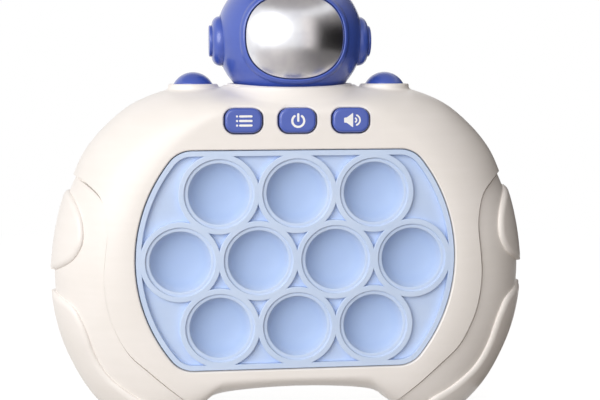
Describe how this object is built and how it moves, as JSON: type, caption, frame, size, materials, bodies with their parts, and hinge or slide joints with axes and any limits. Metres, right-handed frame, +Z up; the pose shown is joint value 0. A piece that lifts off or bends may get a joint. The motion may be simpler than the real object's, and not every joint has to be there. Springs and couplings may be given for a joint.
{
  "type": "electronic bubble pop game",
  "caption": "Hand-held bubble pop game: a rounded two-grip casing with pressable silicone bubbles, face keys, shoulder buttons and an astronaut helmet on top.",
  "frame": {"origin": "under the middle of the game, on the plane that the two grips stand on", "axes": "+X to the player's right, +Y from the player to the back, +Z up to the helmet"},
  "size_m": [0.1594, 0.047, 0.1505],
  "materials": {
    "cream_plastic": "moulded, soft satin gloss",
    "blue_silicone": "smooth moulded silicone, soft sheen",
    "royal_blue_plastic": "glossy moulded plastic",
    "black_plastic": "matte",
    "green_board": "lacquered glass fibre board",
    "zinc_plated_steel": "zinc plated",
    "cell_jacket": "plain dark jacket, satin",
    "paper_cone": "matte pressed paper",
    "wire_insulation": "thin matte wire jacket",
    "satin_chrome": "satin mirror"
  },
  "bodies": {
    "console": {"front_shell": "cream_plastic", "rear_shell": "cream_plastic", "bubble_panel": "blue_silicone", "panel_frame": "black_plastic", "main_board": "green_board", "bubble_switch_01": "black_plastic", "bubble_switch_02": "black_plastic", "bubble_switch_03": "black_plastic", "bubble_switch_04": "black_plastic", "bubble_switch_05": "black_plastic", "bubble_switch_06": "black_plastic", "bubble_switch_07": "black_plastic", "bubble_switch_08": "black_plastic", "bubble_switch_09": "black_plastic", "bubble_switch_10": "black_plastic", "menu_switch": "black_plastic", "power_switch": "black_plastic", "sound_switch": "black_plastic", "left_shoulder_switch": "black_plastic", "right_shoulder_switch": "black_plastic", "battery_cell_1": "cell_jacket", "battery_cell_2": "cell_jacket", "battery_cell_3": "cell_jacket", "spring_contact_1": "zinc_plated_steel", "spring_contact_2": "zinc_plated_steel", "spring_contact_3": "zinc_plated_steel", "flat_contact_1": "zinc_plated_steel", "flat_contact_2": "zinc_plated_steel", "flat_contact_3": "zinc_plated_steel", "speaker": "black_plastic", "speaker_cone": "paper_cone", "battery_lead_plus": "wire_insulation", "battery_lead_minus": "wire_insulation", "speaker_lead": "wire_insulation", "case_screw_1": "zinc_plated_steel", "case_screw_2": "zinc_plated_steel", "case_screw_3": "zinc_plated_steel", "case_screw_4": "zinc_plated_steel", "helmet_front": "royal_blue_plastic", "helmet_rear": "royal_blue_plastic", "visor": "satin_chrome", "left_ear_pod": "royal_blue_plastic", "right_ear_pod": "royal_blue_plastic"},
    "bubble_01": {"bubble_01": "blue_silicone"},
    "bubble_02": {"bubble_02": "blue_silicone"},
    "bubble_03": {"bubble_03": "blue_silicone"},
    "bubble_04": {"bubble_04": "blue_silicone"},
    "bubble_05": {"bubble_05": "blue_silicone"},
    "bubble_06": {"bubble_06": "blue_silicone"},
    "bubble_07": {"bubble_07": "blue_silicone"},
    "bubble_08": {"bubble_08": "blue_silicone"},
    "bubble_09": {"bubble_09": "blue_silicone"},
    "bubble_10": {"bubble_10": "blue_silicone"},
    "menu_key": {"menu_key": "royal_blue_plastic"},
    "power_key": {"power_key": "royal_blue_plastic"},
    "sound_key": {"sound_key": "royal_blue_plastic"},
    "left_shoulder_button": {"left_shoulder_button": "royal_blue_plastic"},
    "right_shoulder_button": {"right_shoulder_button": "royal_blue_plastic"},
    "battery_door": {"battery_door": "cream_plastic", "battery_door_screw": "zinc_plated_steel"}
  },
  "joints": [
    {"name": "bubble_01_press", "type": "slide", "parent": "console", "child": "bubble_01", "axis": [0, 1, 0], "range_m": [0, 0.003], "stiffness_N_per_m": 300, "springref_m": -0.0005},
    {"name": "bubble_02_press", "type": "slide", "parent": "console", "child": "bubble_02", "axis": [0, 1, 0], "range_m": [0, 0.003], "stiffness_N_per_m": 300, "springref_m": -0.0005},
    {"name": "bubble_03_press", "type": "slide", "parent": "console", "child": "bubble_03", "axis": [0, 1, 0], "range_m": [0, 0.003], "stiffness_N_per_m": 300, "springref_m": -0.0005},
    {"name": "bubble_04_press", "type": "slide", "parent": "console", "child": "bubble_04", "axis": [0, 1, 0], "range_m": [0, 0.003], "stiffness_N_per_m": 300, "springref_m": -0.0005},
    {"name": "bubble_05_press", "type": "slide", "parent": "console", "child": "bubble_05", "axis": [0, 1, 0], "range_m": [0, 0.003], "stiffness_N_per_m": 300, "springref_m": -0.0005},
    {"name": "bubble_06_press", "type": "slide", "parent": "console", "child": "bubble_06", "axis": [0, 1, 0], "range_m": [0, 0.003], "stiffness_N_per_m": 300, "springref_m": -0.0005},
    {"name": "bubble_07_press", "type": "slide", "parent": "console", "child": "bubble_07", "axis": [0, 1, 0], "range_m": [0, 0.003], "stiffness_N_per_m": 300, "springref_m": -0.0005},
    {"name": "bubble_08_press", "type": "slide", "parent": "console", "child": "bubble_08", "axis": [0, 1, 0], "range_m": [0, 0.003], "stiffness_N_per_m": 300, "springref_m": -0.0005},
    {"name": "bubble_09_press", "type": "slide", "parent": "console", "child": "bubble_09", "axis": [0, 1, 0], "range_m": [0, 0.003], "stiffness_N_per_m": 300, "springref_m": -0.0005},
    {"name": "bubble_10_press", "type": "slide", "parent": "console", "child": "bubble_10", "axis": [0, 1, 0], "range_m": [0, 0.003], "stiffness_N_per_m": 300, "springref_m": -0.0005},
    {"name": "menu_key_press", "type": "slide", "parent": "console", "child": "menu_key", "axis": [0, 1, 0], "range_m": [0, 0.0008], "stiffness_N_per_m": 800, "springref_m": -0.0002},
    {"name": "power_key_press", "type": "slide", "parent": "console", "child": "power_key", "axis": [0, 1, 0], "range_m": [0, 0.0008], "stiffness_N_per_m": 800, "springref_m": -0.0002},
    {"name": "sound_key_press", "type": "slide", "parent": "console", "child": "sound_key", "axis": [0, 1, 0], "range_m": [0, 0.0008], "stiffness_N_per_m": 800, "springref_m": -0.0002},
    {"name": "left_shoulder_press", "type": "slide", "parent": "console", "child": "left_shoulder_button", "axis": [0, 0, -1], "range_m": [0, 0.002], "stiffness_N_per_m": 500, "springref_m": -0.0005},
    {"name": "right_shoulder_press", "type": "slide", "parent": "console", "child": "right_shoulder_button", "axis": [0, 0, -1], "range_m": [0, 0.002], "stiffness_N_per_m": 500, "springref_m": -0.0005},
    {"name": "battery_door_lift", "type": "slide", "parent": "console", "child": "battery_door", "axis": [0, 1, 0], "range_m": [0, 0.03]}
  ]
}
